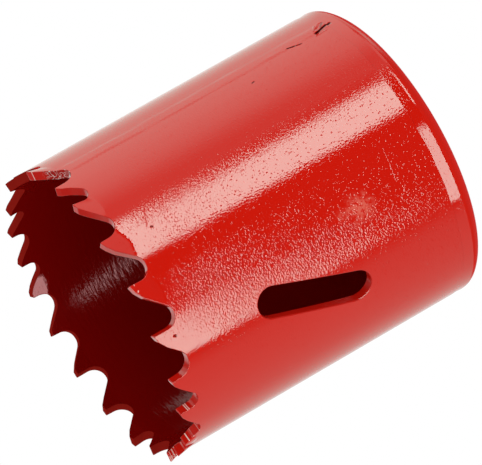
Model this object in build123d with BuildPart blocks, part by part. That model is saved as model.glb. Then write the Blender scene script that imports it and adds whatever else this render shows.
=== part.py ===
from build123d import *
from math import atan2, cos, degrees, radians, sin, tan
import os

# A hole saw: a toothed strip rolled and welded into a cup, on a thick back plate.
# The axis is Z, the back face lies at height 0 and the teeth point up.
# All lengths are in millimetres. Angles are in degrees about the axis, from +X.

# Toothed shell
shell_diameter = 40.0
strip_thickness = 1.2
strip_width = 42.4

# Each tooth from the seam onwards: the step from its cutting face to the next one,
# the depth of the gullet between them, and how far its tip is set outwards (inwards where negative).
first_rake_angle = 17.5
teeth = [
    (15.8, 2.5, 0.5), (12.3, 2.4, 0), (18.4, 2.1, 0.35), (12.7, 2.0, 0), (15.1, 2.0, 0),
    (14.2, 2.2, 0), (16.2, 2.4, 0.5), (18.1, 2.6, 0), (19.3, 3.2, -0.2), (20.6, 2.8, 0),
    (13.7, 2.2, 0), (16.6, 2.1, 0), (9.5, 1.8, 0.5), (13.0, 2.2, 0.35), (19.4, 2.7, 0.5),
    (15.3, 2.7, 0), (19.1, 2.9, 0), (19.8, 3.5, 0), (19.3, 3.4, 0.4), (18.0, 3.0, -0.35),
    (13.3, 3.1, 0.45), (20.3, 3.4, 0),
]

# Tooth form, as shares of a tooth's pitch or of its gullet's depth
land_share = 0.14
land_drop_share = 0.08
relief_share = 0.7
relief_drop_share = 0.3
floor_share = 0.34
floor_roundness = 0.95
bend_share = 0.85
bend_edge_share = 0.18

# Chip slots
slot_count = 2
slot_width = 4.2
slot_length = 16.2
slot_lean = 20.4
slot_height = 24.6
slot_angle = -90.3

# Weld bead where the ends of the strip meet
seam_angle = 4.5
seam_width = 2.2
seam_rise = 0.1
seam_gap_to_tips = 4.2

# Back plate
flange_thickness = 3.6
joint_groove_depth = 0.1
rim_shoulder_radius = 0.58
rim_shoulder_angle = 35.0
rim_turn_radius = 3.53
spigot_length = 2.0
spigot_clearance = 0.05
spigot_chamfer = 0.5

# Holes for the arbor: 5/8 inch thread with 18 turns an inch, and its drive pins
thread_major_diameter = 15.875
thread_pitch = 25.4 / 18
thread_height_factor = 1.0825
thread_chamfer = 0.6
pin_hole_diameter = 6.5
pin_hole_count = 4
pin_hole_angle = 45.0

# Derived sizes
shell_radius = shell_diameter / 2
cup_radius = shell_radius - strip_thickness
tip_height = flange_thickness + strip_width
plate_thickness = flange_thickness + spigot_length
spigot_radius = cup_radius - spigot_clearance
thread_minor_radius = (thread_major_diameter - thread_height_factor * thread_pitch) / 2
pin_circle_radius = (thread_minor_radius + spigot_radius) / 2
cut_margin = 2.0
step_scale = 360 / sum(step for step, depth, tip_set in teeth)


def facing_plane(angle):
    """The plane through the axis that faces outwards at an angle, with its y along Z."""
    turn = radians(angle)
    return Plane(origin=(0, 0, 0), x_dir=(-sin(turn), cos(turn), 0), z_dir=(cos(turn), sin(turn), 0))


def section_plane(angle):
    """The plane that cuts the cup lengthwise at an angle: x is the radius and y the height."""
    turn = radians(angle)
    return Plane(origin=(0, 0, 0), x_dir=(cos(turn), sin(turn), 0), z_dir=(sin(turn), -cos(turn), 0))


def tooth_layout():
    """Each tooth with its cutting face's angle, and the gullets before and after it."""
    layout = []
    rake_angle = first_rake_angle
    last_step, last_depth, last_set = teeth[-1]
    for step, depth, tip_set in teeth:
        bend_from = rake_angle - last_step * step_scale * (1 - bend_edge_share)
        bend_to = rake_angle + step * step_scale * bend_edge_share
        bend_drop = bend_share * min(last_depth, depth)
        layout.append((rake_angle, step * step_scale, depth, tip_set, bend_from, bend_to, bend_drop))
        rake_angle += step * step_scale
        last_step, last_depth = step, depth
    return layout


with BuildPart() as toothed_shell:
    # The rolled strip stands on the flange of the back plate.
    with BuildSketch(Plane.XY.offset(flange_thickness)):
        Circle(shell_radius)
        Circle(cup_radius, mode=Mode.SUBTRACT)
    extrude(amount=strip_width)

    # The ends of the strip meet in a low ground bead.
    seam_turn = degrees(seam_width / shell_radius)
    with BuildSketch(section_plane(seam_angle - seam_turn / 2)):
        with Locations((shell_radius - strip_thickness / 2, flange_thickness)):
            Rectangle(
                strip_thickness / 2 + seam_rise,
                strip_width - seam_gap_to_tips,
                align=(Align.MIN, Align.MIN),
            )
    revolve(axis=Axis.Z, revolution_arc=seam_turn)

    # Set teeth lean outwards or inwards from the bend line at their root.
    for rake_angle, step, depth, tip_set, bend_from, bend_to, bend_drop in tooth_layout():
        if tip_set == 0:
            continue
        bend_height = tip_height - bend_drop
        with BuildSketch(section_plane(bend_from)):
            with Locations((cup_radius - cut_margin, bend_height)):
                Rectangle(
                    strip_thickness + 2 * cut_margin,
                    bend_drop + cut_margin,
                    align=(Align.MIN, Align.MIN),
                )
        revolve(axis=Axis.Z, revolution_arc=bend_to - bend_from, mode=Mode.SUBTRACT)
        with BuildSketch(section_plane(bend_from)):
            Polygon(
                (cup_radius, bend_height),
                (shell_radius, bend_height),
                (shell_radius + tip_set, tip_height),
                (cup_radius + tip_set, tip_height),
                align=None,
            )
        revolve(axis=Axis.Z, revolution_arc=bend_to - bend_from)

    # A gullet runs down the cutting face, round its floor and up the back of the next tooth.
    for rake_angle, step, depth, tip_set, bend_from, bend_to, bend_drop in tooth_layout():
        pitch = radians(step) * shell_radius
        plane_shift = floor_share * pitch / 2
        corners = [
            (shell_radius * sin((share * pitch - plane_shift) / shell_radius), tip_height - drop)
            for share, drop in (
                (0, -cut_margin),
                (0, depth),
                (floor_share, depth),
                (relief_share, relief_drop_share * depth),
                (1 - land_share, land_drop_share * depth),
                (1, 0),
                (1, -cut_margin),
            )
        ]
        with BuildSketch(facing_plane(rake_angle + degrees(plane_shift / shell_radius))) as gullet:
            with BuildLine():
                Polyline(*corners, close=True)
            make_face()
            floor_width = corners[2][0] - corners[1][0]
            back_slope = atan2(corners[3][1] - corners[2][1], corners[3][0] - corners[2][0])
            floor_radius = floor_roundness * floor_width / (1 + tan(back_slope / 2))
            fillet(gullet.vertices().group_by(Axis.Y)[0], radius=floor_radius)
        extrude(amount=shell_radius + cut_margin, mode=Mode.SUBTRACT)

    # The slots lean, with their upper ends turned towards the cutting faces.
    for index in range(slot_count):
        with BuildSketch(facing_plane(slot_angle + index * 360 / slot_count)):
            with Locations((0, slot_height)):
                SlotOverall(slot_length, slot_width, rotation=90 - slot_lean)
        extrude(amount=shell_radius + cut_margin, mode=Mode.SUBTRACT)

toothed_shell.part.label = "toothed_shell"


with BuildPart() as back_plate:
    # The flange carries the shell on its shoulder, and the spigot centres it.
    rim_corner_height = (
        rim_shoulder_radius * sin(radians(rim_shoulder_angle))
        + rim_turn_radius * (1 - sin(radians(rim_shoulder_angle)))
    )
    with BuildSketch(Plane.XZ):
        with BuildLine():
            section = Polyline(
                (thread_minor_radius + thread_chamfer, 0),
                (thread_minor_radius, thread_chamfer),
                (thread_minor_radius, plate_thickness - thread_chamfer),
                (thread_minor_radius + thread_chamfer, plate_thickness),
                (spigot_radius - spigot_chamfer, plate_thickness),
                (spigot_radius, plate_thickness - spigot_chamfer),
                (spigot_radius, flange_thickness),
                (shell_radius - joint_groove_depth, flange_thickness),
                (shell_radius, rim_corner_height),
            )
            shoulder_arc = JernArc(section @ 1, (0, -1), rim_shoulder_radius, -rim_shoulder_angle)
            turn_arc = JernArc(shoulder_arc @ 1, shoulder_arc % 1, rim_turn_radius, rim_shoulder_angle - 90)
            Line(turn_arc @ 1, section @ 0)
        make_face()
    revolve(axis=Axis.Z)

    # The drive pins go halfway between the arbor's thread and the edge of the spigot.
    with PolarLocations(pin_circle_radius, pin_hole_count, start_angle=pin_hole_angle):
        Hole(pin_hole_diameter / 2)

back_plate.part.label = "back_plate"


os.makedirs("parts", exist_ok=True)
export_step(toothed_shell.part, "parts/toothed_shell.step")
export_step(back_plate.part, "parts/back_plate.step")
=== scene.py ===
from collections import namedtuple
from math import acos, atan2, cos, pi, radians, sin, tan

import bpy
import numpy as np
from mathutils import Matrix, Vector
from mathutils.geometry import delaunay_2d_cdt
from mathutils.kdtree import KDTree


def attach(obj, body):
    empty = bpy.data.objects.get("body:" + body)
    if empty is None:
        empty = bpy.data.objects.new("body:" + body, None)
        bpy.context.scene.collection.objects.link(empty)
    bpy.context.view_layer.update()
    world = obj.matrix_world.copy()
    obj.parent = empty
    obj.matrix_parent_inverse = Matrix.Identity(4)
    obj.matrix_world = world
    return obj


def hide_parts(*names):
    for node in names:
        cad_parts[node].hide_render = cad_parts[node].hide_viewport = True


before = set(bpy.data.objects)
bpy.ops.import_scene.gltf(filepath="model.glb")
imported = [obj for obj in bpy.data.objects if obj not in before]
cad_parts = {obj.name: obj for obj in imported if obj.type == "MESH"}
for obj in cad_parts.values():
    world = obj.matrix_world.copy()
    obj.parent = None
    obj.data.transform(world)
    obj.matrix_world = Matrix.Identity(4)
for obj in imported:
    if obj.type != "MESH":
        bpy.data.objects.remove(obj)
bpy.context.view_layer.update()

# The looks of the hole saw: a rolled and seam-welded toothed strip on a thick back plate.
# Lengths are in millimetres and angles in degrees about the saw's axis, as in the part's source.
# A place on the strip is given by s, the length round its outside from +X, and by its height z.
MM = 0.001

# Strip
RADIUS = 20.0
WALL = 1.2
SHOULDER = 3.6
TOP = 46.0
ROUND = 2 * pi * RADIUS
AROUND = 280
MOUTH_EDGE = 0.07
BASE_EDGE = 0.02
SLOT_EDGE = 0.15
EDGE_STEPS = (30, 60, 90)

# Teeth: the angle of the cutting face, the height of the tip, how far it is set outwards, the floor
# of the gullet after it, that floor's width as a share of the pitch, how far the next tooth's back
# lies below its tip where the relief and where the land begins, and the face's hook as a share of its depth.
Tooth = namedtuple("Tooth", "angle tip tip_set floor floor_share relief_drop land_drop hook")
TEETH = [Tooth(*values) for values in (
    (17.5, 45.85, 0.55, 43.5, 0.32, 0.95, 0.30, 0.0),
    (33.3, 46.0, 0.0, 43.6, 0.32, 0.95, 0.30, 0.0),
    (45.6, 46.05, 0.35, 43.9, 0.32, 0.95, 0.30, 0.0),
    (64.0, 45.95, -0.1, 44.0, 0.32, 0.85, 0.25, 0.0),
    (76.7, 46.2, 0.0, 44.0, 0.42, 0.87, 0.23, -0.04),
    (91.8, 46.05, 0.05, 43.85, 0.33, 0.56, 0.07, 0.01),
    (106.0, 45.97, 0.55, 43.57, 0.40, 0.96, 0.16, 0.07),
    (122.2, 46.08, 0.05, 43.4, 0.38, 0.78, 0.05, -0.05),
    (140.3, 46.1, -0.2, 42.77, 0.33, 0.95, 0.05, 0.03),
    (159.6, 46.02, -0.15, 43.2, 0.33, 0.70, 0.02, 0.0),
    (180.2, 46.2, 0.15, 43.8, 0.32, 0.80, 0.20, 0.02),
    (193.9, 46.0, -0.05, 43.9, 0.32, 0.95, 0.30, 0.0),
    (210.5, 46.1, 0.5, 44.1, 0.32, 0.80, 0.25, 0.0),
    (220.0, 45.95, 0.35, 43.7, 0.32, 0.95, 0.30, 0.0),
    (233.0, 45.8, 0.5, 43.3, 0.32, 0.95, 0.30, 0.0),
    (252.4, 46.15, 0.1, 43.3, 0.32, 0.89, 0.20, 0.0),
    (267.7, 46.15, 0.05, 43.14, 0.42, 1.05, 0.30, -0.04),
    (286.8, 46.15, 0.0, 42.48, 0.33, 0.93, 0.24, 0.0),
    (306.6, 46.04, 0.42, 42.63, 0.34, 0.98, 0.34, 0.02),
    (325.9, 45.87, -0.34, 42.97, 0.34, 0.87, 0.22, 0.02),
    (343.9, 45.72, 0.44, 42.87, 0.38, 1.40, 0.50, 0.02),
    (357.2, 45.6, 0.0, 42.4, 0.36, 1.2, 0.40, 0.0),
)]
RELIEF_SHARE = 0.7
LAND_SHARE = 0.86
BACK_ROUND = 0.5
TIP_ROUND = 0.12
FLOOR_ROUNDNESS = 0.95
LEAST_SLOPE = 0.2

# Bends at the set teeth: how deep they start as a share of the tooth, their roundness,
# and the rise of the curved bend line of the teeth that are set far.
BEND_SHARE = 0.85
BEND_ROUND = 0.22
FAR_SET = 0.3
BEND_ARCH = 0.6
BEND_ARCH_SHARE = 0.75

# Chip slots
SLOT_ANGLES = (-90.3, 89.7)
SLOT_HEIGHT = 24.58
SLOT_LEAN = 20.4
SLOT_LENGTH = 16.2
SLOT_WIDTH = 4.2
SLOT_END_STEPS = 32

# Weld bead: its flanks along s, where it fades out below the teeth, and how it wanders
SEAM_HEIGHT = 0.09
SEAM_START = (0.3, 0.75)
SEAM_END = (1.9, 2.9)
SEAM_FADE = (41.2, 43.4)
SEAM_WANDER = 0.12
SEAM_WANDER_LENGTH = 2.7
SEAM_EVEN_SHARE = 0.8
SEAM_LUMPY_SHARE = 0.35
SEAM_LUMP_SIZE = (1 / 1.2, 3)
SEAM_INSIDE_SHARE = 0.6

# Joint line between the strip and the back plate
JOINT_DROP = 0.03
JOINT_RAGGED = 0.06
JOINT_BUMPS = 128
JOINT_REACH = 0.2

# Mesh: the grids' steps and how far they keep from an outline, where the fine one lies, the steps along
# outlines, how near two points are taken for one, and the share of a hole's area that counts as inside it.
COARSE_GRID = (0.8, 0.25)
FINE_GRID = (0.35, 0.175)
FINE_HEIGHT = 40.6
FINE_SEAM = (-0.6, 3.8)
GRID_ROW_SHARE = 0.866
GRID_MARGIN = 0.3
MOUTH_STEP = 0.2
SLOT_STEP = 0.25
LEAST_STEP = 0.012
MERGED = 1e-5
IN_HOLE = 0.99

# The paints of the strip in their order, and the angles of the cut edges on the far side of the cup, whose
# paint is a darker red without gloss as painted shade
OUTSIDE, CUT, INSIDE, FAR_SHADED_CUT = range(4)
FAR_ANGLES = (24, 208)

# Back plate
PLATE = SHOULDER + 2.0
SPIGOT = RADIUS - WALL - 0.05
SPIGOT_FOOT = SHOULDER - 0.02
SPIGOT_CHAMFER = 0.5
CHAMFER_NORMAL = (0.38, 0.92)
CHAMFER_INSET = 0.03
CHAMFER_BREAK = 0.05
LIP_HEIGHT = SHOULDER - 0.015
LIP_FLAT = 19.86
FLANGE_SIDE = [(19.905, 3.35, 1, 0.07), (19.93, 2.9, 1, 0.08), (19.965, 2.4, 1, 0.078)]
FLAT_EDGE = 16.7

# Arcs of the plate's rim: the middle's radius and height, the arc's radius, both directions and the steps
LIP_ARC = (19.865, SHOULDER - 0.045, 0.03, 90, 4, 4)
BELLY_ARC = (18.5, 2.1, 1.5, 4.2, -5, 6)
RIM_SHOULDER_ARC = (19.4, 1.905, 0.59, -5, -35, 6)
RIM_TURN_ARC = (17.003, 3.53, 3.53, -35, -90, 24)

# Holes of the back plate
THREAD_MINOR = 7.174
THREAD_MAJOR = 7.9375
THREAD_PITCH = 25.4 / 18
THREAD_CREST = 0.125
THREAD_FLANK = 0.3125
THREAD_MOUTH = 8.1
THREAD_TURNS = 160
THREAD_LEVELS = 72
PIN_CIRCLE = (THREAD_MINOR + SPIGOT) / 2
PIN_ANGLES = (45, 135, 225, 315)
PIN_RADIUS = 3.25
PIN_EDGE = 0.15
PIN_TURNS = 64
PINS = [(PIN_CIRCLE * cos(radians(a)), PIN_CIRCLE * sin(radians(a))) for a in PIN_ANGLES]
HOLES = [(x, y, PIN_RADIUS + PIN_EDGE, PIN_TURNS) for x, y in PINS] + [(0, 0, THREAD_MOUTH, THREAD_TURNS)]


# Noise, with the rows of it that the joint and the seam follow, and soft steps
LATTICE_SIZE = 64
LATTICE = np.random.default_rng(7).random((LATTICE_SIZE, LATTICE_SIZE)) * 2 - 1
JOINT_ROW = 3.5
SEAM_ROW = 9.5


def smooth(x, low, high):
    """0 below low, 1 above high, and a smooth step between them."""
    t = np.clip((x - low) / (high - low), 0.0, 1.0)
    return t * t * (3 - 2 * t)


def between(x, start, end):
    """1 between a soft start and a soft end, and 0 outside them."""
    return smooth(x, *start) * (1 - smooth(x, *end))


def ripple(x, y):
    """Smooth noise between -1 and 1 with bumps about one unit wide."""
    i, j = np.floor(x).astype(int), np.floor(y).astype(int)
    u, v = x - i, y - j
    u, v = u * u * (3 - 2 * u), v * v * (3 - 2 * v)
    i0, i1 = i % LATTICE_SIZE, (i + 1) % LATTICE_SIZE
    j0, j1 = j % LATTICE_SIZE, (j + 1) % LATTICE_SIZE
    return (
        LATTICE[i0, j0] * (1 - u) * (1 - v) + LATTICE[i1, j0] * u * (1 - v)
        + LATTICE[i0, j1] * (1 - u) * v + LATTICE[i1, j1] * u * v
    )


# Outlines on the unrolled strip
def filleted(corners, closing, steps=8):
    """A closed outline whose corners, each with its radius, are rounded by arcs."""
    out = []
    for i, (x, y, radius) in enumerate(corners):
        corner = np.array((x, y))
        before = np.array(corners[i - 1][:2])
        after = np.array(corners[(i + 1) % len(corners)][:2])
        if i == 0:
            before[0] -= closing
        if i + 1 == len(corners):
            after[0] += closing
        u = (before - corner) / np.linalg.norm(before - corner)
        v = (after - corner) / np.linalg.norm(after - corner)
        half_angle = acos(max(-1.0, min(1.0, float(u @ v)))) / 2
        middle = corner + (u + v) / np.linalg.norm(u + v) * radius / sin(half_angle)
        start = corner + u * radius / tan(half_angle)
        end = corner + v * radius / tan(half_angle)
        start_angle = atan2(start[1] - middle[1], start[0] - middle[0])
        end_angle = atan2(end[1] - middle[1], end[0] - middle[0])
        turn = (end_angle - start_angle + pi) % (2 * pi) - pi
        for k in range(steps + 1):
            a = start_angle + turn * k / steps
            out.append((middle[0] + radius * cos(a), middle[1] + radius * sin(a)))
    return out


def tooth_corners(tooth, following):
    """The corners from a tooth's tip down its face, along the gullet's floor and up the next one's back."""
    face = radians(tooth.angle) * RADIUS
    pitch = radians((following.angle - tooth.angle) % 360) * RADIUS
    hooked = tooth.hook * (tooth.tip - tooth.floor)
    floor_width = tooth.floor_share * pitch
    relief_height = following.tip - tooth.relief_drop
    slope = atan2(relief_height - tooth.floor, (RELIEF_SHARE - tooth.floor_share) * pitch)
    floor_round = FLOOR_ROUNDNESS * (floor_width + hooked) / (1 + tan(max(LEAST_SLOPE, slope) / 2))
    return [
        (face, tooth.tip, TIP_ROUND),
        (face - hooked, tooth.floor, floor_round),
        (face + floor_width, tooth.floor, floor_round),
        (face + RELIEF_SHARE * pitch, relief_height, BACK_ROUND),
        (face + LAND_SHARE * pitch, following.tip - tooth.land_drop, BACK_ROUND),
    ]


def mouth_outline():
    """The teeth and gullets all the way round."""
    corners = []
    for tooth, following in zip(TEETH, TEETH[1:] + TEETH[:1]):
        corners += tooth_corners(tooth, following)
    return filleted(corners, ROUND)


def slot_outline(angle):
    """A leaning slot with round ends, counter-clockwise."""
    lean, reach = radians(SLOT_LEAN), (SLOT_LENGTH - SLOT_WIDTH) / 2
    points = []
    for end in (1, -1):
        for k in range(SLOT_END_STEPS + 1):
            a = pi / 2 * (1 - end) - lean + k * pi / SLOT_END_STEPS
            points.append((
                radians(angle) * RADIUS + end * reach * sin(lean) + SLOT_WIDTH / 2 * cos(a),
                SLOT_HEIGHT + end * reach * cos(lean) + SLOT_WIDTH / 2 * sin(a),
            ))
    return points


def joint_height(s):
    """The ragged line where the painted strip meets the back plate."""
    return SHOULDER - JOINT_DROP + JOINT_RAGGED * ripple(s / ROUND * JOINT_BUMPS, JOINT_ROW)


def base_outline():
    """The strip's lower edge, followed the other way round."""
    s = -np.arange(AROUND) * ROUND / AROUND
    return np.stack([s, joint_height(s)], 1)


def spaced(loop, step, closing=0.0):
    """A closed outline with points added where they lie further apart than the step."""
    out = []
    for i, a in enumerate(loop):
        b = loop[i + 1] if i + 1 < len(loop) else (loop[0][0] + closing, loop[0][1])
        gap = ((b[0] - a[0]) ** 2 + (b[1] - a[1]) ** 2) ** 0.5
        if gap < LEAST_STEP:
            continue
        count = max(1, int(np.ceil(gap / step)))
        out += [(a[0] + (b[0] - a[0]) * k / count, a[1] + (b[1] - a[1]) * k / count) for k in range(count)]
    return np.array(out)


def air_side(loop, closing=0.0):
    """Unit normals of a closed outline that has the material on its right."""
    ahead, behind = np.roll(loop, -1, 0), np.roll(loop, 1, 0)
    ahead[-1, 0] += closing
    behind[0, 0] -= closing
    onwards, so_far = ahead - loop, loop - behind
    along = onwards / np.linalg.norm(onwards, axis=1)[:, None]
    along += so_far / np.linalg.norm(so_far, axis=1)[:, None]
    along /= np.linalg.norm(along, axis=1)[:, None]
    return np.stack([-along[:, 1], along[:, 0]], 1)


# A rim: an outline's places set in by the width of its rounded edge, the way to the air at each,
# and the paint of its edge on the near side and on the far side.
Rim = namedtuple("Rim", "places facing edge paint far_paint")


def set_in(loop, closing, edge, paint, far_paint):
    """The rim of an outline that runs on by the closing length when it comes round."""
    facing = air_side(loop, closing)
    return Rim(loop - facing * edge, facing, edge, paint, far_paint)


# Relief of the strip
def wrapped(s):
    """A length round the strip, brought to within half a round of zero."""
    return (s + ROUND / 2) % ROUND - ROUND / 2


def bend(s, z):
    """How far the set teeth lean out of the cylinder."""
    out = np.zeros_like(s)
    for i, tooth in enumerate(TEETH):
        if tooth.tip_set == 0:
            continue
        before, after = TEETH[i - 1], TEETH[(i + 1) % len(TEETH)]
        start = -radians((tooth.angle - before.angle) % 360) * RADIUS * (1 - before.floor_share / 2)
        end = radians((after.angle - tooth.angle) % 360) * RADIUS * tooth.floor_share / 2
        along = wrapped(s - radians(tooth.angle) * RADIUS)
        line = tooth.tip - BEND_SHARE * (tooth.tip - max(tooth.floor, before.floor))
        if abs(tooth.tip_set) > FAR_SET:
            reach = -start * BEND_ARCH_SHARE / 2
            line = line - BEND_ARCH * np.clip(1 - ((along + reach) / reach) ** 2, 0, 1)
        above = z - line
        rounded = (above + BEND_ROUND) ** 2 / (4 * BEND_ROUND)
        ramp = np.where(above < -BEND_ROUND, 0, np.where(above > BEND_ROUND, above, rounded))
        out += np.where((along > start) & (along < end), tooth.tip_set * ramp / (tooth.tip - line), 0)
    return out


def seam(s, z):
    """The ground weld bead where the ends of the strip meet."""
    along = wrapped(s) + SEAM_WANDER * ripple(z / SEAM_WANDER_LENGTH, SEAM_ROW)
    lumps = SEAM_EVEN_SHARE + SEAM_LUMPY_SHARE * ripple(along / SEAM_LUMP_SIZE[0], z / SEAM_LUMP_SIZE[1])
    return SEAM_HEIGHT * between(along, SEAM_START, SEAM_END) * lumps * (1 - smooth(z, *SEAM_FADE))


def outer(s, z):
    """How far the outer skin stands out of its cylinder."""
    return bend(s, z) + seam(s, z)


def inner(s, z):
    """How far the inner skin stands out of its cylinder."""
    return bend(s, z) - SEAM_INSIDE_SHARE * seam(s, z)


def skin(places, field, base, facing):
    """Points and unit normals of one side of the strip, whose slopes are taken over a short step."""
    step = 0.02
    s, z = places.T
    r = base + field(s, z)
    across = (field(s + step, z) - field(s - step, z)) / (2 * step) * RADIUS / r
    up = (field(s, z + step) - field(s, z - step)) / (2 * step)
    c, w = np.cos(s / RADIUS), np.sin(s / RADIUS)
    points = np.stack([r * c, r * w, z], 1)
    normals = np.stack([c + across * w, w - across * c, -up], 1) * facing
    return points, normals / np.linalg.norm(normals, axis=1)[:, None]


# Mesh of the strip, made in a plane ring where its two ends meet and the mouth is the inner edge
def ringed(places):
    """Places on the strip carried into the plane ring."""
    r, a = RADIUS * np.exp((TOP - places[:, 1]) / RADIUS), places[:, 0] / RADIUS
    return np.stack([r * np.cos(a), r * np.sin(a)], 1)


def within(places, loop):
    """Which of the places lie inside a closed outline."""
    x, y = places.T
    inside = np.zeros(len(places), bool)
    for a, b in zip(loop, np.roll(loop, -1, 0)):
        if a[1] != b[1]:
            crossed = (a[1] > y) != (b[1] > y)
            inside ^= crossed & (x < (b[0] - a[0]) * (y - a[1]) / (b[1] - a[1]) + a[0])
    return inside


def in_strip(places, rims):
    """Which places of the plane ring lie on the strip, between its mouth, its base and its slots."""
    mouth_ring, base_ring, *slot_rings = [ringed(rim.places) for rim in rims]
    inside = within(places, base_ring) & ~within(places, mouth_ring)
    for slot_ring in slot_rings:
        inside &= ~within(places, slot_ring)
    return inside


def loose_places(fixed, rims):
    """Places between the rims: finer near the teeth and along the seam, and clear of the rims' own."""
    near = KDTree(3 * len(fixed))
    for i, (s, z) in enumerate(fixed):
        for k in (-1, 0, 1):
            near.insert((s % ROUND + k * ROUND, z, 0), 3 * i + k + 1)
    near.balance()
    loose = []
    for (step, clearance), fine in ((COARSE_GRID, False), (FINE_GRID, True)):
        columns = int(round(ROUND / step))
        rows = int((TOP + GRID_MARGIN - SHOULDER) / (step * GRID_ROW_SHARE)) + 1
        row, column = np.meshgrid(np.arange(rows), np.arange(columns), indexing="ij")
        s = ((column + 0.5 * (row % 2)) * ROUND / columns).ravel()
        z = (SHOULDER + row * step * GRID_ROW_SHARE).ravel()
        by_seam = (wrapped(s) > FINE_SEAM[0]) & (wrapped(s) < FINE_SEAM[1])
        keep = ((z >= FINE_HEIGHT) | by_seam) == fine
        loose += [(a, b) for a, b in zip(s[keep], z[keep]) if near.find((a, b, 0))[2] > clearance]
    loose = np.array(loose)
    return loose[in_strip(ringed(loose), rims)]


def strip_triangles(flat, rims):
    """Triangles over all places of the strip, of which the rims' places come first."""
    ring = ringed(flat)
    borders, count = [], 0
    for rim in rims:
        size = len(rim.places)
        borders += [(count + k, count + (k + 1) % size) for k in range(size)]
        count += size
    made = delaunay_2d_cdt([Vector(p) for p in ring], borders, [], 0, MERGED)
    cells, sources = made[2], made[3]
    triangles = np.array([[min(sources[v]) for v in cell] for cell in cells])
    outside = np.all(triangles < count, 1)
    outside[outside] = ~in_strip(ring[triangles[outside]].mean(1), rims)
    return triangles[~outside]


def mesh_object(name, points, faces, normals=None):
    """A smooth mesh in the scene, made of points in millimetres."""
    mesh = bpy.data.meshes.new(name)
    mesh.from_pydata([Vector(p) * MM for p in points], [], [tuple(int(v) for v in face) for face in faces])
    mesh.polygons.foreach_set("use_smooth", [True] * len(mesh.polygons))
    if normals is not None:
        mesh.normals_split_custom_set_from_vertices([tuple(n) for n in normals])
    made = bpy.data.objects.new(name, mesh)
    bpy.context.scene.collection.objects.link(made)
    return made


def rounded_edge(rim, outer_skin, inner_skin):
    """Rings of points with their normals that lead from the outer skin round a rim to the inner skin."""
    angles = rim.places[:, 0] / RADIUS
    c, w = np.cos(angles)[:, None], np.sin(angles)[:, None]
    along, up = rim.facing[:, :1], rim.facing[:, 1:]
    side = np.concatenate([-w * along, c * along, up], 1)
    rings = []
    for (points, normals), steps in ((outer_skin, EDGE_STEPS), (inner_skin, EDGE_STEPS[::-1])):
        for a in steps:
            rise, lean = cos(radians(a)), sin(radians(a))
            ring = points - normals * rim.edge * (1 - rise) + side * rim.edge * lean
            rings.append((ring, normals * rise + side * lean))
    return rings


def toothed_shell():
    """The strip: an outer and an inner skin, joined by rounded edges along every rim."""
    rims = [
        set_in(spaced(mouth_outline(), MOUTH_STEP, ROUND), ROUND, MOUTH_EDGE, CUT, FAR_SHADED_CUT),
        set_in(base_outline(), -ROUND, BASE_EDGE, OUTSIDE, OUTSIDE),
    ]
    for angle in SLOT_ANGLES:
        rims.append(set_in(spaced(slot_outline(angle), SLOT_STEP), 0.0, SLOT_EDGE, CUT, CUT))
    fixed = np.concatenate([rim.places for rim in rims])
    flat = np.concatenate([fixed, loose_places(fixed, rims)])
    triangles = strip_triangles(flat, rims)
    outer_points, outer_normals = skin(flat, outer, RADIUS, 1)
    inner_points, inner_normals = skin(flat, inner, RADIUS - WALL, -1)
    points, normals = [outer_points, inner_points], [outer_normals, inner_normals]
    faces = [tuple(t) for t in triangles] + [tuple(t[::-1] + len(flat)) for t in triangles]
    paints = [OUTSIDE] * len(triangles) + [INSIDE] * len(triangles)

    start, total = 0, 2 * len(flat)
    for rim in rims:
        size = len(rim.places)
        own = slice(start, start + size)
        outer_skin = (outer_points[own], outer_normals[own])
        inner_skin = (inner_points[own], inner_normals[own])
        rings = [start + np.arange(size)]
        for ring_points, ring_normals in rounded_edge(rim, outer_skin, inner_skin):
            points.append(ring_points)
            normals.append(ring_normals)
            rings.append(total + np.arange(size))
            total += size
        rings.append(len(flat) + start + np.arange(size))
        angles = np.degrees(rim.places[:, 0] / RADIUS) % 360
        far = (angles > FAR_ANGLES[0]) & (angles < FAR_ANGLES[1])
        for p, q in zip(rings, rings[1:]):
            faces += zip(p, np.roll(p, -1), np.roll(q, -1), q)
            paints += list(np.where(far, rim.far_paint, rim.paint))
        start += size
    made = mesh_object("toothed_shell_painted", np.concatenate(points), faces, np.concatenate(normals))
    made.data.polygons.foreach_set("material_index", paints)
    return made


# The back plate: a turned rim and spigot, two flat faces with holes, four plain holes and a thread
plate_points, plate_normals, plate_faces = [], [], []


def ring_of(corners):
    """Adds points, each with its normal, to the plate and returns their numbers."""
    first = len(plate_points)
    for point, normal in corners:
        plate_points.append(point)
        plate_normals.append(normal)
    return list(range(first, len(plate_points)))


def level_ring(x, y, radius, height, turns, outwards, upwards):
    """Adds a level ring about a vertical axis, with normals that lean outwards and upwards."""
    corners = []
    for k in range(turns):
        a = 2 * pi * k / turns
        point = (x + radius * cos(a), y + radius * sin(a), height)
        corners.append((point, (outwards * cos(a), outwards * sin(a), upwards)))
    return ring_of(corners)


def joined(rings):
    """Joins each ring of points with the next one by a band of faces."""
    for p, q in zip(rings, rings[1:]):
        for k in range(len(p)):
            m = (k + 1) % len(p)
            plate_faces.append((p[k], q[k], q[m], p[m]))


def arc(middle_r, middle_z, radius, start, end, steps):
    """Points of a profile's arc with their normals."""
    angles = [radians(start + (end - start) * k / steps) for k in range(steps + 1)]
    return [(middle_r + radius * cos(a), middle_z + radius * sin(a), cos(a), sin(a)) for a in angles]


def turned(profile):
    """Adds a surface turned about the saw's axis, ragged along the joint, and returns its rings."""
    rings = []
    for r, z, outwards, upwards in profile:
        ring = level_ring(0, 0, r, z, AROUND, outwards, upwards)
        if abs(z - SHOULDER) < JOINT_REACH:
            ragged = joint_height(np.arange(AROUND) * ROUND / AROUND) - SHOULDER
            for v, shift in zip(ring, ragged):
                x, y, height = plate_points[v]
                plate_points[v] = (x, y, height + float(shift))
        rings.append(ring)
    joined(rings)
    return rings


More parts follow.
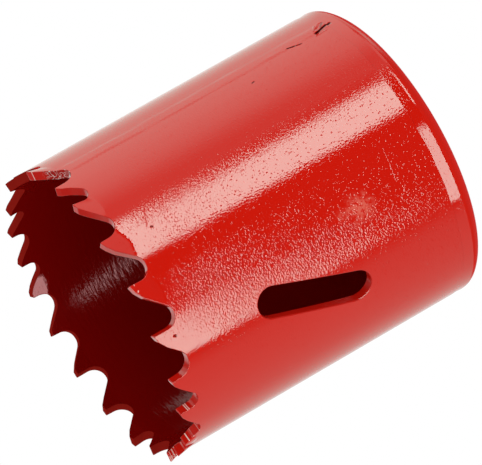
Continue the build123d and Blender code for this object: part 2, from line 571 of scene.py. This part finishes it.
def disc(edge, height, facing):
    """A flat face between a turned ring and the holes, and the rings of points round the holes."""
    numbers = list(edge)
    borders = [(k, (k + 1) % len(edge)) for k in range(len(edge))]
    holes = []
    for x, y, radius, turns in HOLES:
        first = len(numbers)
        borders.extend((first + k, first + (k + 1) % turns) for k in range(turns))
        holes.append(level_ring(x, y, radius, height, turns, 0, facing))
        numbers += holes[-1]
    made = delaunay_2d_cdt([Vector(plate_points[v][:2]) for v in numbers], borders, [], 0, MERGED)
    places, cells, sources = made[0], made[2], made[3]
    for cell in cells:
        x, y = sum((places[v] for v in cell), Vector((0, 0))) / 3
        if not any((x - hole[0]) ** 2 + (y - hole[1]) ** 2 < IN_HOLE * hole[2] ** 2 for hole in HOLES):
            face = [numbers[min(sources[v])] for v in cell]
            plate_faces.append(tuple(face if facing > 0 else face[::-1]))
    return holes


def pin_hole(x, y, back_ring, top_ring):
    """A plain hole with rounded edges between the two flat faces."""
    rings = [back_ring]
    for end, inwards, steps in ((0.0, 1, EDGE_STEPS), (PLATE, -1, EDGE_STEPS[::-1])):
        for a in steps:
            rise, lean = cos(radians(a)), sin(radians(a))
            radius = PIN_RADIUS + PIN_EDGE * (1 - lean)
            height = end + inwards * PIN_EDGE * (1 - rise)
            rings.append(level_ring(x, y, radius, height, PIN_TURNS, -lean, -inwards * rise))
    joined(rings + [top_ring])


def thread(angle, z):
    """The radius of the arbor's thread, opened by a countersink at both ends."""
    turn = (z / THREAD_PITCH - angle / (2 * pi)) % 1
    depth = min(1.0, max(0.0, (abs(turn - 0.5) - THREAD_CREST) / THREAD_FLANK))
    radius = THREAD_MINOR + (THREAD_MAJOR - THREAD_MINOR) * depth
    return max(radius, THREAD_MOUTH - z, THREAD_MOUTH - PLATE + z)


def threaded_hole(back_ring, top_ring):
    """The arbor's hole, with normals taken from the thread's slopes over short steps."""
    step, turn = 0.03, 0.01
    rings = [back_ring]
    for level in range(1, THREAD_LEVELS):
        z = PLATE * level / THREAD_LEVELS
        corners = []
        for k in range(THREAD_TURNS):
            a = 2 * pi * k / THREAD_TURNS
            r = thread(a, z)
            up = (thread(a, z + step) - thread(a, z - step)) / (2 * step)
            across = (thread(a + turn, z) - thread(a - turn, z)) / (2 * turn) / r
            normal = Vector((-cos(a) - across * sin(a), -sin(a) + across * cos(a), up)).normalized()
            corners.append(((r * cos(a), r * sin(a), z), tuple(normal)))
        rings.append(ring_of(corners))
    joined(rings + [top_ring])


def back_plate():
    """The plate with its spigot, rim, flat faces and holes."""
    lean, rise = CHAMFER_NORMAL
    spigot = turned([
        (SPIGOT - SPIGOT_CHAMFER - CHAMFER_BREAK, PLATE, 0, 1),
        (SPIGOT - SPIGOT_CHAMFER - CHAMFER_INSET, PLATE, lean, rise),
        (SPIGOT - CHAMFER_INSET, PLATE - SPIGOT_CHAMFER, rise, lean),
        (SPIGOT, PLATE - SPIGOT_CHAMFER - CHAMFER_BREAK, 1, 0),
        (SPIGOT, SPIGOT_FOOT, 1, 0),
    ])
    flange = turned(
        [(SPIGOT, LIP_HEIGHT, 0, 1), (LIP_FLAT, LIP_HEIGHT, 0, 1)] + arc(*LIP_ARC)[1:] + FLANGE_SIDE
        + arc(*BELLY_ARC) + arc(*RIM_SHOULDER_ARC)[1:] + arc(*RIM_TURN_ARC)[1:] + [(FLAT_EDGE, 0, 0, -1)]
    )
    *pin_tops, thread_top = disc(spigot[0], PLATE, 1)
    *pin_backs, thread_back = disc(flange[-1], 0.0, -1)
    for (x, y), back_ring, top_ring in zip(PINS, pin_backs, pin_tops):
        pin_hole(x, y, back_ring, top_ring)
    threaded_hole(thread_back, thread_top)
    return mesh_object("back_plate_painted", plate_points, plate_faces, plate_normals)


shell = toothed_shell()
plate = back_plate()


# Paint: colours
RED = (0.67, 0.0105, 0.0037)
CUT_RED = (0.56, 0.009, 0.004)
# Painted shade: the inside of the cup is the same red paint made darker
INSIDE_SHADED_RED = (0.2, 0.001, 0.0005)
# Painted shade: the cut edges' red made darker for the far side of the cup
FAR_SHADED_RED = (0.26, 0.011, 0.007)
RUBBED = (0.8, 0.13, 0.09, 1)
# Painted shade for the gouge, the nick and the pits
PIT_SHADE_RED = (0.03, 0.001, 0.001, 1)
# Painted shade and painted glints on the lump of weld flash
FLASH_PAINTED_SHADE = (0.3, 0.004, 0.002, 1)
FLASH_PAINTED_GLINT = (1, 0.85, 0.8, 1)
# Painted highlight: the pale colour of the glints at the tips and on the cutting faces
PAINTED_GLINT_PALE = (0.95, 0.8, 0.7, 1)
DULL_PINK = (1, 0.38, 0.42)
NO_GLOSS = (0, 0, 0)

# Paint: grain and dust, whose scales are cells a metre, and where they settle down towards the teeth
GRAIN_SCALE = 4600.0
DUST_SCALE = 4200.0
DUST_LEAST = 0.68
DUST_RADIUS = 0.5
DUST_HEIGHT = 1.5
CALM_HEIGHTS = (36.5, 41.5)
CALM = 0.35
RUBBED_SCALE = 2.2
RUBBED_LEVELS = (0.35, 0.65)
# The weld flash's lumps, and the width of the white lines painted as glints along them
FLASH_SCALE = 2300.0
FLASH_RISE = 0.3
FLASH_LEVEL = 0.5
FLASH_PAINTED_GLINT_WIDTH = 0.03

# Paint: gloss
BODY_ROUGHNESS = 0.6
COAT_IOR = 1.5
DULL_IOR = 1.6
DULL_LEVEL = 0.5

# Strokes on the paint: the angle and height of both ends, the half width, and the height or strength
DENTS = [
    # The gouge with its raised lips, the nick and a pit near the rim
    (3.7, 3.1, 1.4, 5.5, 0.36, -0.2),
    (6.2, 3.9, 3.4, 4.9, 0.5, -0.16),
    (6.6, 4.8, 3.4, 5.5, 0.2, 0.07),
    (0.4, 4.2, -0.2, 5.9, 0.2, 0.06),
    (1.9, 9.8, 1.1, 8.9, 0.16, -0.08),
    (0.9, 8.7, 0.3, 8.0, 0.13, -0.06),
    (-5.8, 16.5, -6.0, 16.8, 0.14, -0.03),
    # Pits near the teeth
    (-38.8, 39.3, -38.6, 39.4, 0.2, -0.06),
    (-76.7, 43.5, -76.5, 43.65, 0.24, -0.06),
    (-32.0, 42.5, -31.7, 42.6, 0.12, -0.04),
    # Two fine scratches, and the grinding lines along the seam
    (-38.0, 39.9, -30.0, 38.5, 0.08, 0.009),
    (-68.0, 9.2, -55.0, 8.7, 0.07, 0.004),
    (6.4, 34.0, 7.6, 43.0, 0.12, 0.01),
    (1.2, 14.0, 1.9, 29.0, 0.12, 0.008),
    (9.4, 5.0, 9.0, 31.0, 0.14, 0.006),
    (4.4, 7.0, 4.0, 38.0, 0.1, -0.006),
    (2.6, 24.0, 2.9, 41.0, 0.1, 0.007),
]

# Painted shade: the paint is darkened, and its gloss taken away, in the gouge and the nick near the rim and
# in the pits
PIT_SHADE = [
    (3.7, 3.1, 1.4, 5.5, 0.32, 1.3),
    (6.2, 3.7, 3.6, 4.4, 0.3, 0.5),
    (1.9, 9.8, 1.1, 8.9, 0.18, 1.3),
    (0.9, 8.7, 0.3, 8.0, 0.14, 1.3),
    (-38.8, 39.3, -38.6, 39.4, 0.22, 0.8),
    (-76.7, 43.5, -76.5, 43.65, 0.26, 0.8),
    (-5.8, 16.5, -6.0, 16.8, 0.17, 1.0),
]

# The rubbed spot above the slot, and the lump of weld flash beside the seam, whose paint is darkened as
# painted shade and crossed by white lines painted as glints
SMUDGE = [
    (-72.0, 14.4, -67.0, 15.4, 1.6, 0.9),
    (-69.8, 13.4, -69.0, 17.6, 1.1, 0.7),
    (-75.0, 16.4, -66.0, 13.8, 0.8, 0.6),
]
WELD_FLASH = [(0.5, 42.4, 7.5, 44.2, 1.6, 1.0)]

# Painted glints: pale spots painted as highlights at the tips and on the cutting faces
PAINTED_GLINTS = [
    (-56.6, 45.4, -56.2, 45.3, 0.1, 1.0),
    (-54.0, 45.4, -53.6, 45.4, 0.08, 0.8),
    (-16.2, 45.6, -15.6, 45.5, 0.07, 0.8),
    (-107.6, 45.0, -107.6, 44.98, 0.07, 1.0),
    (-107.6, 44.75, -107.6, 44.73, 0.06, 1.0),
    (-127.0, 45.0, -127.0, 44.97, 0.09, 1.0),
    (-126.8, 44.2, -126.8, 44.17, 0.09, 1.0),
    (-124.6, 43.4, -124.5, 43.4, 0.09, 1.0),
    (-139.8, 44.8, -139.8, 44.7, 0.09, 1.0),
    (-149.4, 45.7, -149.4, 45.68, 0.07, 1.0),
    (-149.4, 45.3, -149.4, 45.24, 0.08, 1.0),
    (-149.4, 44.9, -149.4, 44.88, 0.07, 1.0),
    (11.4, 44.8, 11.4, 45.6, 0.09, 1.0),
    (14.7, 45.2, 14.7, 45.9, 0.07, 0.9),
    (17.6, 45.7, 17.6, 45.9, 0.06, 0.7),
]


# Nodes
def add(tree, kind, inputs=None, **settings):
    """Adds a node, with other nodes' outputs linked to its inputs and plain values set on them."""
    node = tree.nodes.new(kind)
    for key, value in settings.items():
        setattr(node, key, value)
    for key, value in (inputs or {}).items():
        if isinstance(value, bpy.types.NodeSocket):
            tree.links.new(value, node.inputs[key])
        else:
            node.inputs[key].default_value = value
    return node


def calculated(tree, operation, *values, use_clamp=False):
    """The result of a calculation with numbers."""
    inputs = dict(enumerate(values))
    return add(tree, "ShaderNodeMath", inputs, operation=operation, use_clamp=use_clamp).outputs[0]


def with_vectors(tree, operation, first, second):
    """The results of a calculation with two vectors."""
    return add(tree, "ShaderNodeVectorMath", {0: first, 1: second}, operation=operation).outputs


def mapped(tree, value, start, end, to_start=0.0, to_end=1.0, interpolation="LINEAR"):
    """A value carried from one range to another and held at its ends."""
    return add(tree, "ShaderNodeMapRange", {
        "Value": value, "From Min": start, "From Max": end, "To Min": to_start, "To Max": to_end,
    }, interpolation_type=interpolation).outputs[0]


def noise(tree, place, scale, detail=0.0):
    """Soft noise with so many cells a unit of length."""
    return add(tree, "ShaderNodeTexNoise", {"Vector": place, "Scale": scale, "Detail": detail}).outputs[0]


def tinted(tree, colour, other, strength):
    """A colour mixed with another one."""
    mixed = add(tree, "ShaderNodeMix", {"Factor": strength, "A": colour, "B": other}, data_type="RGBA")
    return mixed.outputs["Result"]


def raised(tree, height, distance, normal=None):
    """The normal of a surface with a height pattern whose full height is given in millimetres."""
    inputs = {"Height": height, "Strength": 1.0, "Distance": distance * MM}
    if normal:
        inputs["Normal"] = normal
    return add(tree, "ShaderNodeBump", inputs).outputs[0]


def summed(tree, place, strokes):
    """The sum of strokes at a place on the unrolled strip, in millimetres."""
    total = None
    for start_angle, start_height, end_angle, end_height, width, height in strokes:
        start = Vector((radians(start_angle) * RADIUS, start_height, 0))
        along = Vector((radians(end_angle) * RADIUS, end_height, 0)) - start
        offset = with_vectors(tree, "SUBTRACT", place, start)["Vector"]
        share = with_vectors(tree, "DOT_PRODUCT", offset, along / along.length_squared)["Value"]
        share = add(tree, "ShaderNodeClamp", {"Value": share}).outputs[0]
        # The share stays a number here: as a vector for each stroke it makes the shader too big to render.
        nearest = add(tree, "ShaderNodeVectorMath", {0: along, "Scale": share}, operation="SCALE").outputs[0]
        gap = with_vectors(tree, "DISTANCE", offset, nearest)["Value"]
        stroke = mapped(tree, gap, width, 0.0, 0.0, height, "SMOOTHSTEP")
        total = calculated(tree, "ADD", total, stroke) if total else stroke
    return total


# Layers of the paint
def grained(tree, position, height, grain, calm):
    """The normal of paint with a fine grain and dust in it, both lower by the calm share near the teeth."""
    spread = mapped(tree, height, CALM_HEIGHTS[0] * MM, CALM_HEIGHTS[1] * MM, 1.0, calm)
    fine = calculated(tree, "MULTIPLY", noise(tree, position, GRAIN_SCALE), spread)
    cells = add(tree, "ShaderNodeTexVoronoi", {"Vector": position, "Scale": DUST_SCALE})
    chance = add(tree, "ShaderNodeSeparateColor", {"Color": cells.outputs["Color"]}).outputs[0]
    size = mapped(tree, chance, DUST_LEAST, 1.0)
    dust = mapped(tree, cells.outputs["Distance"], DUST_RADIUS, 0.0, interpolation="SMOOTHSTEP")
    dust = calculated(tree, "MULTIPLY", calculated(tree, "MULTIPLY", dust, size), spread)
    return raised(tree, dust, DUST_HEIGHT * grain, raised(tree, fine, grain))


def streaked(tree, place, streaks, normal):
    """Drawn-out ripples, given by their number a millimetre along and up the strip and by their height."""
    along, up, height = streaks
    stretched = with_vectors(tree, "MULTIPLY", place, (along, up, 0))["Vector"]
    lines = noise(tree, stretched, 1.0, detail=1.0)
    return raised(tree, lines, height, normal)


def worn(tree, place, red, normal):
    """The dents, the rubbed spot and the painted shade darkening the gouge, the nick and the pits, and how
    much gloss the shade leaves there.
    """
    normal = raised(tree, summed(tree, place, DENTS), 1.0, normal)
    patchy = mapped(tree, noise(tree, place, RUBBED_SCALE, detail=2.0), *RUBBED_LEVELS)
    haze = calculated(tree, "MULTIPLY", patchy, summed(tree, place, SMUDGE))
    # Painted shade in the gouge, the nick and the pits, which also takes their gloss away
    dark = summed(tree, place, PIT_SHADE)
    red = tinted(tree, tinted(tree, red, RUBBED, haze), PIT_SHADE_RED, dark)
    return red, normal, calculated(tree, "SUBTRACT", 1.0, dark, use_clamp=True)


def flashed(tree, position, place, red, normal):
    """The lump of weld flash on the back of the tooth beside the seam: its bumps, its paint darkened as
    painted shade, and white glint lines painted as highlights along its ridges.
    """
    lumps = noise(tree, position, FLASH_SCALE)
    patch = summed(tree, place, WELD_FLASH)
    normal = raised(tree, calculated(tree, "MULTIPLY", lumps, patch), FLASH_RISE, normal)
    ridge = calculated(tree, "COMPARE", lumps, FLASH_LEVEL, FLASH_PAINTED_GLINT_WIDTH)
    painted_glint = calculated(tree, "MULTIPLY", ridge, patch)
    return tinted(tree, tinted(tree, red, FLASH_PAINTED_SHADE, patch), FLASH_PAINTED_GLINT, painted_glint), normal


def paint(
    name, colour, grain, roughness, calm=CALM, streaks=None, dull=None,
    has_wear=False, has_flash=False, has_painted_glints=False,
):
    """Red paint in layers: under clear gloss, or with a dull reflection of its own colour."""
    material = bpy.data.materials.new(name)
    material.use_nodes = True
    tree = material.node_tree
    tree.nodes.clear()
    position = add(tree, "ShaderNodeTexCoord").outputs["Object"]
    x, y, z = add(tree, "ShaderNodeSeparateXYZ", {"Vector": position}).outputs
    angle = calculated(tree, "ARCTAN2", y, x)
    unrolled = add(tree, "ShaderNodeCombineXYZ", {"X": angle, "Y": z}).outputs[0]
    place = with_vectors(tree, "MULTIPLY", unrolled, (RADIUS, 1 / MM, 0))["Vector"]

    red, gloss = (*colour, 1), 1.0
    normal = grained(tree, position, z, grain, calm)
    if streaks:
        normal = streaked(tree, place, streaks, normal)
    if has_wear:
        red, normal, gloss = worn(tree, place, red, normal)
    if has_flash:
        red, normal = flashed(tree, position, place, red, normal)
    # Painted highlights: pale glints at the tips and on the cutting faces
    if has_painted_glints:
        red = tinted(tree, red, PAINTED_GLINT_PALE, summed(tree, place, PAINTED_GLINTS))

    inputs = {"Base Color": red, "Normal": normal}
    if dull is None:
        inputs |= {
            "Roughness": BODY_ROUGHNESS, "Specular IOR Level": 0.0, "Coat Weight": gloss,
            "Coat Roughness": roughness, "Coat IOR": COAT_IOR, "Coat Normal": normal,
        }
    else:
        inputs |= {
            "Roughness": roughness, "IOR": DULL_IOR,
            "Specular IOR Level": DULL_LEVEL if any(dull) else 0.0, "Specular Tint": (*dull, 1),
        }
    shader = add(tree, "ShaderNodeBsdfPrincipled", inputs)
    add(tree, "ShaderNodeOutputMaterial", {"Surface": shader.outputs["BSDF"]})
    return material


outside = paint(
    "paint_outside", RED, grain=0.0108, roughness=0.045, has_wear=True, has_painted_glints=True,
)
plate_paint = paint(
    "paint_plate", RED, grain=0.006, roughness=0.045, has_wear=True,
)
cut = paint(
    "paint_cut_edges", CUT_RED, grain=0.009, roughness=0.13, streaks=(3.0, 0.6, 0.012),
    has_flash=True, has_painted_glints=True,
)
# The inside of the cup, its red darkened as painted shade, with a dull pink reflection
inside = paint(
    "paint_inside_shaded", INSIDE_SHADED_RED, grain=0.006, roughness=0.15, calm=1.0,
    streaks=(0.6, 2.2, 0.032), dull=DULL_PINK,
)
# The cut edges on the far side: a darker copy of their paint without gloss, as painted shade
far_shaded_cut = paint(
    "paint_far_edges_shaded", FAR_SHADED_RED, grain=0.009, roughness=0.3, calm=1.0, dull=NO_GLOSS,
)
for material in (outside, cut, inside, far_shaded_cut):
    shell.data.materials.append(material)
plate.data.materials.append(plate_paint)

for made, node in ((shell, "toothed_shell"), (plate, "back_plate")):
    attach(made, "root")
    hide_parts(node)


# Floor and surroundings
FLOOR_REACH = 9000
FLOOR_DROP = 0.05
MIDDLE_HEIGHT = TOP / 2
DOME_RADIUS = 1000
DOME_STEP = 3.0
DOME_FINE_STEP = 0.5
DOME_FINE_RISES = (-24, -9)

# The brightness of the surroundings by the turn from +X, and that of their other parts
AROUND_LEVELS = (
    (-180, 0.64), (-150, 0.72), (-128, 0.66), (-121, 0.4), (-115, 0.08), (-105, 0.03), (-84, 0), (-16, 0),
    (-5, 0.4), (0, 0.7), (8, 0.66), (16, 1.05), (24, 1.54), (32, 1.8), (46, 1.84), (60, 1.6), (80, 1.1),
    (110, 1.08), (180, 0.64),
)
PALE = 0.85
SKY = 0.12
SKY_BEHIND = 0.75
GROUND = 0.08
GROUND_SIDE = 0.9
GROUND_FRONT = 1.25
TINT = np.array((0.66, 1.0, 0.9))
TINT_BEHIND = np.array((0.9, 1.0, 0.96))
RED_UNDER = np.array((0.5, 0.0, 0.0))

# The soft edges of its parts, by turn or by rise: where each part begins, or begins and ends
BEHIND_TURNS = ((95, 112), (138, 158))
FRONT_TURNS = ((-52, -46), (-4, 2))
FRONT_RISES = (-9, -5)
PALE_RISES = (16, 24)
HIGH_RISES = ((30, 38), (46, 62))
SKY_RISES = (46, 62)
GROUND_RISES = (-25.5, -20.5)
GROUND_SIDE_TURNS = ((40, 52), (84, 98))
GROUND_SIDE_RISES = (-62, -50)
GROUND_FRONT_TURNS = ((-6, 6), (28, 45))
GROUND_FRONT_RISES = (-55, -42)
UNDER_TURNS = (84, 98)
UNDER_RISES = (-26, -20)

# The two softboxes: their brightness, and the edges that lean, as turns by rise and rises by turn
BOX_LEVEL = 10.2
BOX_LEFT_TURNS = (-39.5, -35)
BOX_RISES = ((-27.5, -24.5), (-14.5, -14.0))
BOX_RIGHT_EDGE = ((-20, -11.15), (-17.3, -17.2), (-16.9, -12.5), (-16, -5))
BOX_RIGHT_SOFTNESS = 4
LONG_BOX_LEVEL = 9.0
LONG_BOX_TURNS = ((-114.5, -112), (-58, -52))
LONG_BOX_TOP_RISES = (20, 26)
LONG_BOX_LOWER_EDGE = (
    (-116, -18.2), (-100, -17.25), (-95.6, -17.0), (-87.6, -16.4), (-79.6, -15.1), (-70, -14.6), (-54, -14.0),
)
LONG_BOX_SOFTNESS = 0.25


def glow(name, strength):
    """A material that only shines, in white until it is given another colour."""
    material = bpy.data.materials.new(name)
    material.use_nodes = True
    tree = material.node_tree
    tree.nodes.clear()
    light = add(tree, "ShaderNodeEmission", {"Color": (1, 1, 1, 1), "Strength": strength})
    add(tree, "ShaderNodeOutputMaterial", {"Surface": light.outputs[0]})
    return material


def blended(level, other, share):
    """A level moved towards another one by a share of the way."""
    return level + (other - level) * share


def softboxes(turn, rise):
    """The light of the two softboxes: a small one with a leaning right edge, and a long one."""
    right_edge = np.interp(rise, *zip(*BOX_RIGHT_EDGE))
    right_turns = (right_edge - BOX_RIGHT_SOFTNESS, right_edge + BOX_RIGHT_SOFTNESS)
    box = between(turn, BOX_LEFT_TURNS, right_turns) * between(rise, *BOX_RISES)
    lower_edge = np.interp(turn, *zip(*LONG_BOX_LOWER_EDGE))
    lower_rises = (lower_edge - LONG_BOX_SOFTNESS, lower_edge + LONG_BOX_SOFTNESS)
    long_box = between(rise, lower_rises, LONG_BOX_TOP_RISES) * between(turn, *LONG_BOX_TURNS)
    return BOX_LEVEL * box + LONG_BOX_LEVEL * long_box


def radiance(turn, rise):
    """What the gloss of the paint reflects from a direction: softboxes, a dark side and pale surroundings."""
    turn = (turn + 180) % 360 - 180
    behind = between(turn, *BEHIND_TURNS)
    level = np.interp(turn, *zip(*AROUND_LEVELS))
    level = blended(level, PALE, smooth(rise, *FRONT_RISES) * between(turn, *FRONT_TURNS))
    level = blended(level, PALE, smooth(rise, *PALE_RISES))
    level = blended(level, SKY + SKY_BEHIND * behind, between(rise, *HIGH_RISES))
    level = blended(level, SKY, smooth(rise, *SKY_RISES))
    side = between(turn, *GROUND_SIDE_TURNS) * smooth(rise, *GROUND_SIDE_RISES)
    front = between(turn, *GROUND_FRONT_TURNS) * smooth(rise, *GROUND_FRONT_RISES)
    ground = GROUND + GROUND_SIDE * side + GROUND_FRONT * front
    level = blended(level, ground, 1 - smooth(rise, *GROUND_RISES))
    tint = blended(TINT, TINT_BEHIND, behind[..., None])
    under = (1 - smooth(rise, *UNDER_RISES)) * smooth(turn, *UNDER_TURNS)
    return (level + softboxes(turn, rise))[..., None] * tint + under[..., None] * RED_UNDER


def dome():
    """A sphere round the saw that only reflections see, with its light stored in its points."""
    fine_from, fine_to = DOME_FINE_RISES
    rises = np.concatenate([
        np.arange(-90, fine_from, DOME_STEP), np.arange(fine_from, fine_to, DOME_FINE_STEP),
        np.arange(fine_to, 90.1, DOME_STEP),
    ])
    columns = 360
    turn, rise = np.meshgrid(np.arange(columns), rises)
    a, e = np.radians(turn), np.radians(rise)
    directions = np.stack([np.cos(a) * np.cos(e), np.sin(a) * np.cos(e), np.sin(e)], -1).reshape(-1, 3)
    faces = []
    for j in range(len(rises) - 1):
        for i in range(columns):
            k = (i + 1) % columns
            faces.append((j * columns + i, j * columns + k, (j + 1) * columns + k, (j + 1) * columns + i))
    made = mesh_object("surroundings", directions * DOME_RADIUS + (0, 0, MIDDLE_HEIGHT), faces)
    light = made.data.attributes.new("light", "FLOAT_COLOR", "POINT")
    colours = np.concatenate([radiance(turn, rise), np.ones((*turn.shape, 1))], -1)
    light.data.foreach_set("color", colours.ravel())
    material = glow("surroundings", 1.0)
    tree = material.node_tree
    colour = add(tree, "ShaderNodeAttribute", attribute_name="light").outputs["Color"]
    tree.links.new(colour, tree.nodes["Emission"].inputs["Color"])
    material.cycles.emission_sampling = "NONE"
    made.data.materials.append(material)
    made.visible_camera = made.visible_diffuse = False
    made.visible_transmission = made.visible_shadow = False


corners = [(x * FLOOR_REACH, y * FLOOR_REACH, 0) for x, y in ((-1, -1), (1, -1), (1, 1), (-1, 1))]
floor = mesh_object("floor", corners, [(0, 1, 2, 3)])
floor.location.z = -FLOOR_DROP * MM
floor.data.materials.append(glow("floor", 1.0))
floor.visible_glossy = floor.visible_diffuse = False
floor.visible_shadow = False
dome()

# Even light on the paint itself, stronger from the sides than from above and below
SIDE_LIGHT = 1.06
TOP_LIGHT = 0.55
world = bpy.data.worlds.new("surroundings")
bpy.context.scene.world = world
world.use_nodes = True
tree = world.node_tree
direction = add(tree, "ShaderNodeTexCoord").outputs["Generated"]
height = add(tree, "ShaderNodeSeparateXYZ", {"Vector": direction}).outputs["Z"]
steep = calculated(tree, "MULTIPLY", height, height)
strength = mapped(tree, steep, 0.0, 1.0, SIDE_LIGHT, TOP_LIGHT)
tree.links.new(strength, tree.nodes["Background"].inputs["Strength"])
tree.nodes["Background"].inputs["Color"].default_value = (1, 1, 1, 1)

# Camera: where it stands round the saw's middle, and its place across, above and back from there
CAMERA_TURN = 33.6
CAMERA_RISE = 18.159
CAMERA_ROLL = 119.772
CAMERA_PLACE = (-0.479, -0.233, 784)
turn, rise, roll = radians(CAMERA_TURN), radians(CAMERA_RISE), radians(CAMERA_ROLL)
back = Vector((sin(turn) * cos(rise), -cos(turn) * cos(rise), sin(rise)))
right = Vector((cos(turn), sin(turn), 0))
up = back.cross(right)
across = cos(roll) * right - sin(roll) * up
upwards = sin(roll) * right + cos(roll) * up
rotation = Matrix((across, upwards, back)).transposed()
place = Vector((0, 0, MIDDLE_HEIGHT)) + rotation @ Vector(CAMERA_PLACE)
camera_data = bpy.data.cameras.new("camera")
camera_data.sensor_width = 36
camera_data.lens = 466.6
camera_data.clip_start = 0.01
camera_data.clip_end = 100
camera = bpy.data.objects.new("camera", camera_data)
camera.matrix_world = Matrix.Translation(place * MM) @ rotation.to_4x4()
bpy.context.scene.collection.objects.link(camera)
bpy.context.scene.camera = camera
bpy.context.scene.view_settings.view_transform = "Standard"
